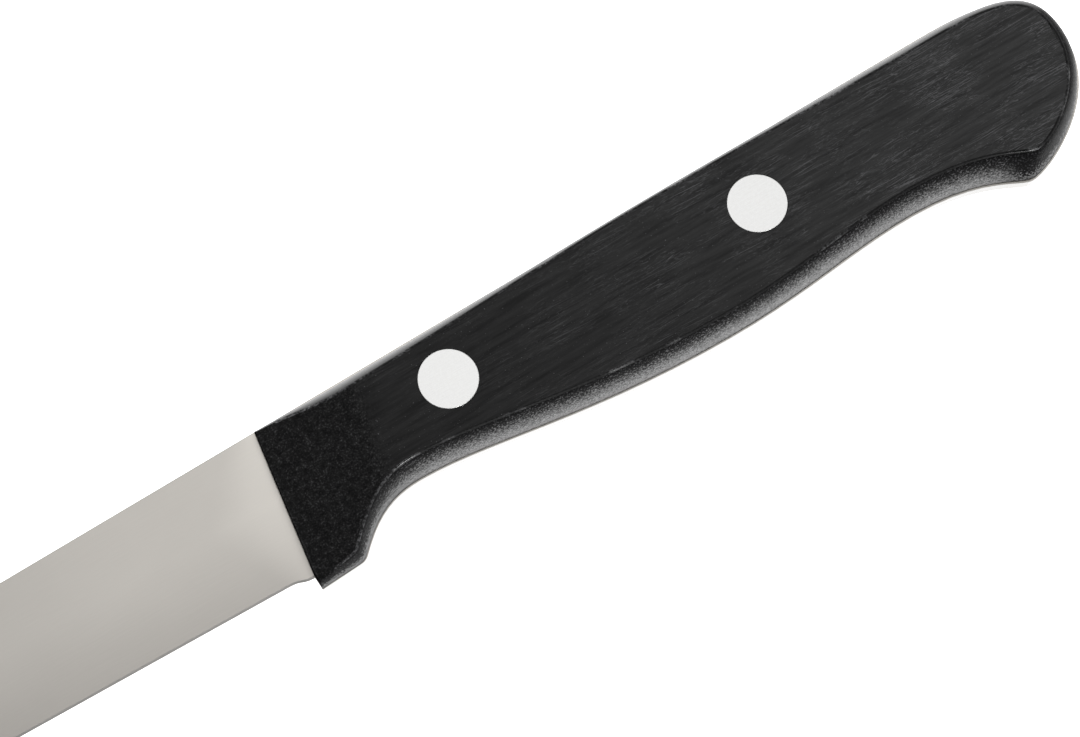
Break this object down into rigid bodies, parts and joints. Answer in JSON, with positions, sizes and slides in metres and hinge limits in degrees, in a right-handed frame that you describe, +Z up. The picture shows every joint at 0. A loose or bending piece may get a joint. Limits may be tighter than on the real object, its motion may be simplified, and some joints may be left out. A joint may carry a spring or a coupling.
{
  "type": "peeling knife",
  "caption": "Small peeling knife with a flat-ground steel blade, a full tang and riveted black plastic handle scales.",
  "frame": {"origin": "under the middle of the knife's bounding box, on the surface that the knife lies on", "axes": "+X from the tip to the butt, +Y from the cutting edge to the spine, +Z up through both handle scales"},
  "size_m": [0.164, 0.0212, 0.012],
  "materials": {
    "blade_steel": "satin, ground lengthwise",
    "handle_plastic": "fine moulded grain, linished flats",
    "rivet_metal": "fine satin, ground flush"
  },
  "bodies": {
    "root": {"blade_with_tang": "blade_steel", "upper_scale": "handle_plastic", "lower_scale": "handle_plastic", "front_rivet_pin_half": "rivet_metal", "front_rivet_tube_half": "rivet_metal", "rear_rivet_pin_half": "rivet_metal", "rear_rivet_tube_half": "rivet_metal"}
  },
  "joints": []
}
